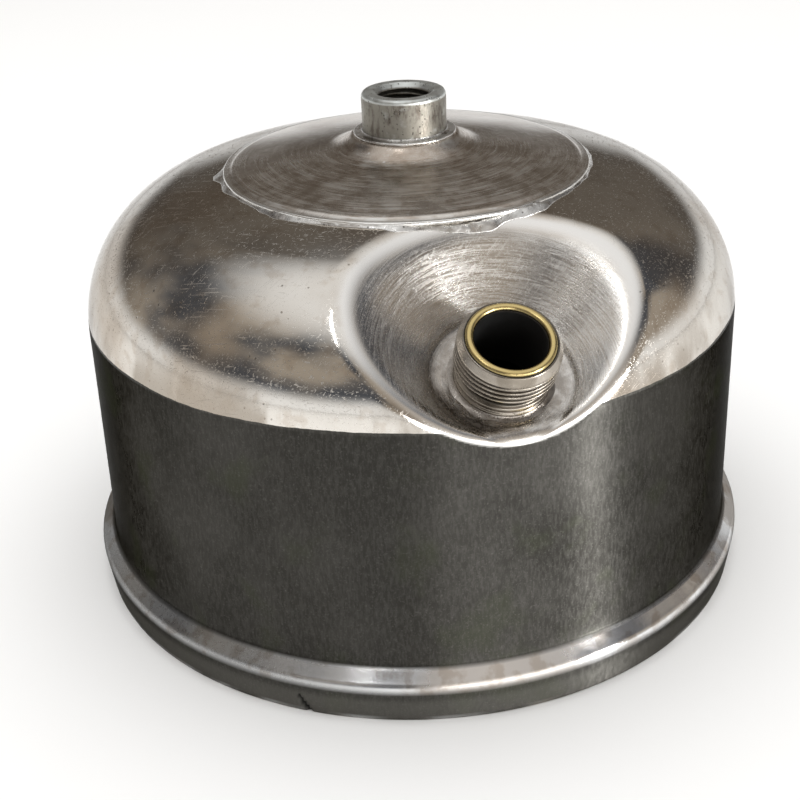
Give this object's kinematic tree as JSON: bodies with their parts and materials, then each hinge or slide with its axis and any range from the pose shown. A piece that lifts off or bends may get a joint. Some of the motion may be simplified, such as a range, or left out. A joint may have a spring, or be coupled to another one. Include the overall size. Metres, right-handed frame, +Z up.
{
  "type": "pressure lantern fuel tank",
  "caption": "Round domed sheet-metal fuel tank with a crown plate, a threaded centre collar and a leaning threaded filler neck in a dished recess.",
  "frame": {"origin": "middle of the ring that the foot skirt stands on", "axes": "+Z up along the tank's axis; the filler neck is on the -Y side, turned 16 degrees towards +X"},
  "size_m": [0.1608, 0.1608, 0.1128],
  "materials": {
    "nickel_plate": "aged nickel plate, bright on the shoulder, dull and grey on the wall",
    "brushed_plate": "nickel plate scratched in circles",
    "solder": "uneven soft solder",
    "collar_steel": "pitted zinc grey",
    "worn_brass": "grey plating worn through to brass",
    "inner_brass": "plain turned brass",
    "base_steel": "dull plated sheet"
  },
  "bodies": {
    "root": {"tank_shell": "nickel_plate", "crown_plate": "brushed_plate", "crown_solder": "solder", "centre_collar": "collar_steel", "collar_solder": "solder", "collar_backing_ring": "inner_brass", "filler_neck": "worn_brass", "filler_solder": "solder", "filler_backing_ring": "inner_brass", "base_plate": "base_steel", "base_solder": "solder"}
  },
  "joints": []
}
